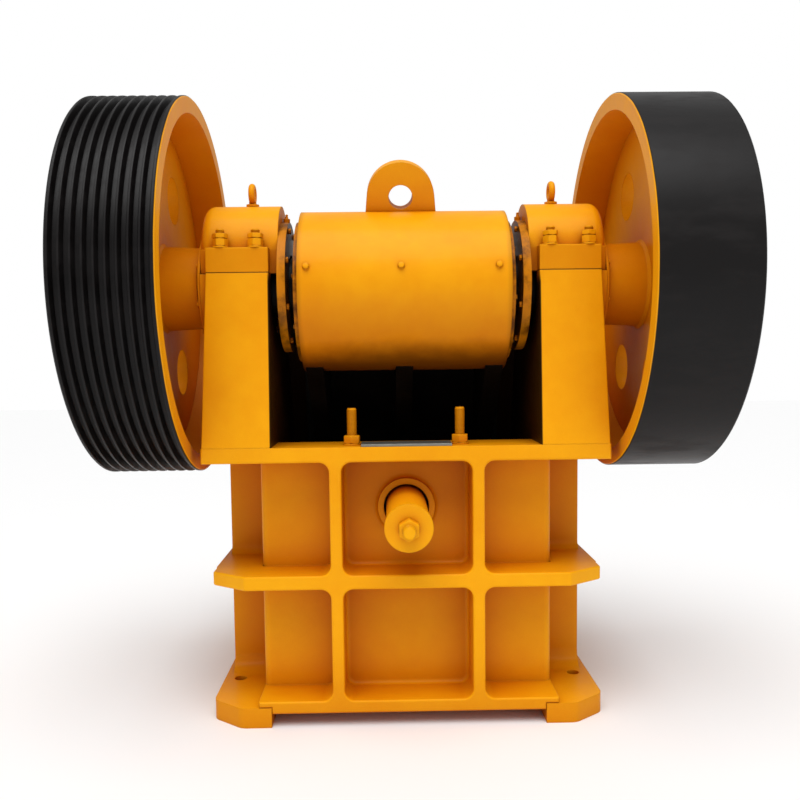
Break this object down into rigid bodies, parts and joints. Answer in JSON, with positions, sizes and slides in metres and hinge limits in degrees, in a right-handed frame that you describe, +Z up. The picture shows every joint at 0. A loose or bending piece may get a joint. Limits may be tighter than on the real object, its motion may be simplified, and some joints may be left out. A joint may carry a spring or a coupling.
{
  "type": "jaw crusher",
  "caption": "Single toggle jaw crusher: ribbed cast frame, swing jaw on an eccentric shaft, grooved sheave on one end and a plain flywheel on the other.",
  "frame": {"origin": "centre of the foundation bolt rectangle, on the underside of the feet", "axes": "+X along the shaft from the grooved sheave to the plain flywheel, +Y from the rear wall with the tension rod towards the fixed jaw, +Z up"},
  "size_m": [1.196, 0.975, 1.248],
  "materials": {
    "yellow_paint": "semi-gloss machine enamel over cast iron, a little uneven",
    "black_paint": "satin black paint",
    "black_casting": "dark greasy casting",
    "manganese_steel": "cast manganese steel, dull",
    "machined_steel": "turned steel with a film of oil",
    "seal_orange": "thin orange paint over turned iron, oily"
  },
  "bodies": {
    "frame": {"rear_wall": "yellow_paint", "front_wall": "yellow_paint", "right_side_wall": "yellow_paint", "left_side_wall": "yellow_paint", "right_bearing_pedestal": "yellow_paint", "left_bearing_pedestal": "yellow_paint", "right_bearing_cap": "yellow_paint", "left_bearing_cap": "yellow_paint", "inner_bearing_covers": "seal_orange", "outer_bearing_covers": "yellow_paint", "main_bearings": "machined_steel", "cap_eyebolts": "yellow_paint", "fixed_jaw_plate": "manganese_steel", "right_cheek_plate": "manganese_steel", "left_cheek_plate": "manganese_steel", "toggle_block": "black_casting", "toggle_plate": "black_casting", "adjusting_studs": "yellow_paint", "shim_bar": "machined_steel", "tension_rod": "yellow_paint", "spring_tube": "yellow_paint", "rod_washer": "yellow_paint", "rod_nut": "yellow_paint"},
    "rotor": {"eccentric_shaft": "machined_steel", "flywheel_rim": "black_paint", "flywheel_web": "yellow_paint", "sheave_rim": "black_paint", "sheave_web": "yellow_paint", "shaft_end_plates": "machined_steel"},
    "swing_jaw": {"jaw_barrel": "yellow_paint", "barrel_seal_rings": "seal_orange", "jaw_bearings": "machined_steel", "jaw_body": "black_casting", "jaw_ribs": "black_casting", "lifting_lug": "yellow_paint", "swing_jaw_plate": "manganese_steel", "jaw_toggle_seat": "black_casting", "rod_bracket": "black_casting"}
  },
  "joints": [
    {"name": "shaft_turn", "type": "hinge", "parent": "frame", "child": "rotor", "pos_m": [0, -0.224, 0.873], "axis": [1, 0, 0], "continuous": true},
    {"name": "jaw_stroke", "type": "hinge", "parent": "rotor", "child": "swing_jaw", "pos_m": [0, -0.224, 0.863], "axis": [1, 0, 0], "continuous": true}
  ],
  "couplings": [
    {"joint": "jaw_stroke", "follows": "shaft_turn", "ratio": -1}
  ]
}
